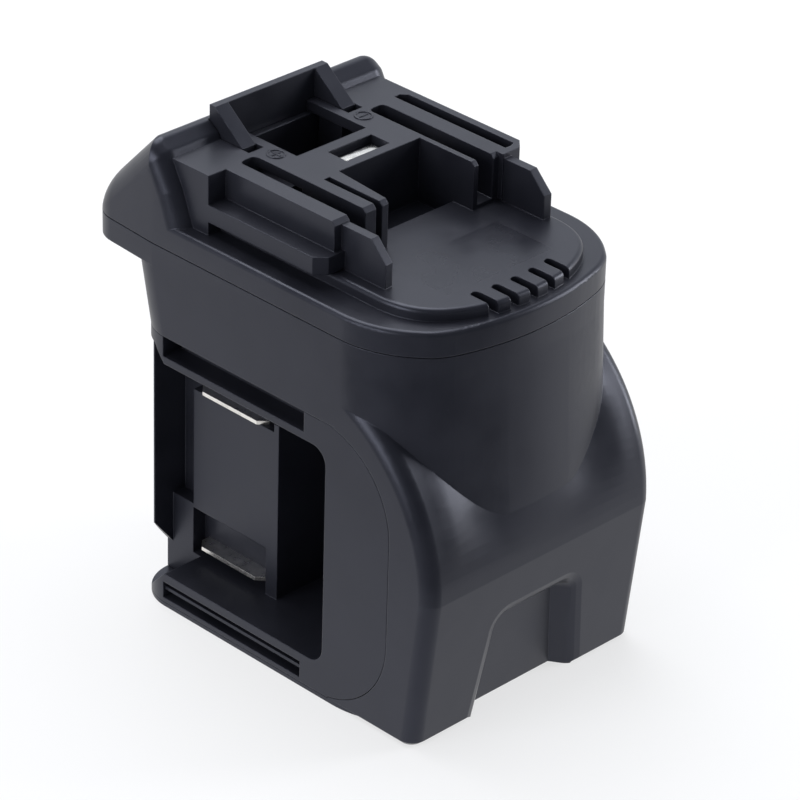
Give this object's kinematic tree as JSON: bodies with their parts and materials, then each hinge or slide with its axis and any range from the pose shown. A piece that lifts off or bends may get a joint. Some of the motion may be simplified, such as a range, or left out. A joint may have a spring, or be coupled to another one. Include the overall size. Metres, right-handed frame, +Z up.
{
  "type": "tool battery adapter",
  "caption": "Black moulded adapter: a power tool slides onto its top rails and latches, and a battery pack of another type slides into either side bay.",
  "frame": {"origin": "middle of the footprint, on the base the adapter stands on", "axes": "+Z up out of the tool rails, -Y to the rounded front that enters the tool, +Y to the release button, X across the two side bays"},
  "size_m": [0.075, 0.118, 0.1269],
  "materials": {
    "housing_plastic": "satin moulded black plastic",
    "cover_plastic": "satin moulded black plastic",
    "insert_plastic": "satin moulded black plastic",
    "latch_plastic": "satin moulded black plastic",
    "nickel": "bright nickel plating",
    "spring_steel": "drawn steel wire",
    "screw_steel": "zinc plated steel",
    "board_laminate": "green solder mask",
    "component_black": "moulded epoxy",
    "capacitor_sleeve": "shrink sleeve",
    "positive_insulation": "red wire insulation",
    "negative_insulation": "black wire insulation"
  },
  "bodies": {
    "adapter": {"main_housing": "housing_plastic", "top_cover": "cover_plastic", "left_bay_frame": "insert_plastic", "right_bay_frame": "insert_plastic", "left_upper_blade": "nickel", "left_lower_blade": "nickel", "right_upper_blade": "nickel", "right_lower_blade": "nickel", "left_upper_lead": "positive_insulation", "right_upper_lead": "positive_insulation", "left_lower_lead": "negative_insulation", "right_lower_lead": "negative_insulation", "left_latch_spring": "spring_steel", "right_latch_spring": "spring_steel", "contact_carrier": "insert_plastic", "left_tool_clip": "nickel", "right_tool_clip": "nickel", "deck_contact": "nickel", "circuit_board": "board_laminate", "power_transistors": "component_black", "capacitor": "capacitor_sleeve", "cover_screws": "screw_steel", "frame_screws": "screw_steel", "carrier_screws": "screw_steel", "board_screws": "screw_steel"},
    "latch": {"release_latch": "latch_plastic"}
  },
  "joints": [
    {"name": "latch_press", "type": "slide", "parent": "adapter", "child": "latch", "axis": [0, 0, -1], "range_m": [0, 0.0074], "stiffness_N_per_m": 900, "springref_m": -0.004, "deforming": ["left_latch_spring", "right_latch_spring"]}
  ]
}
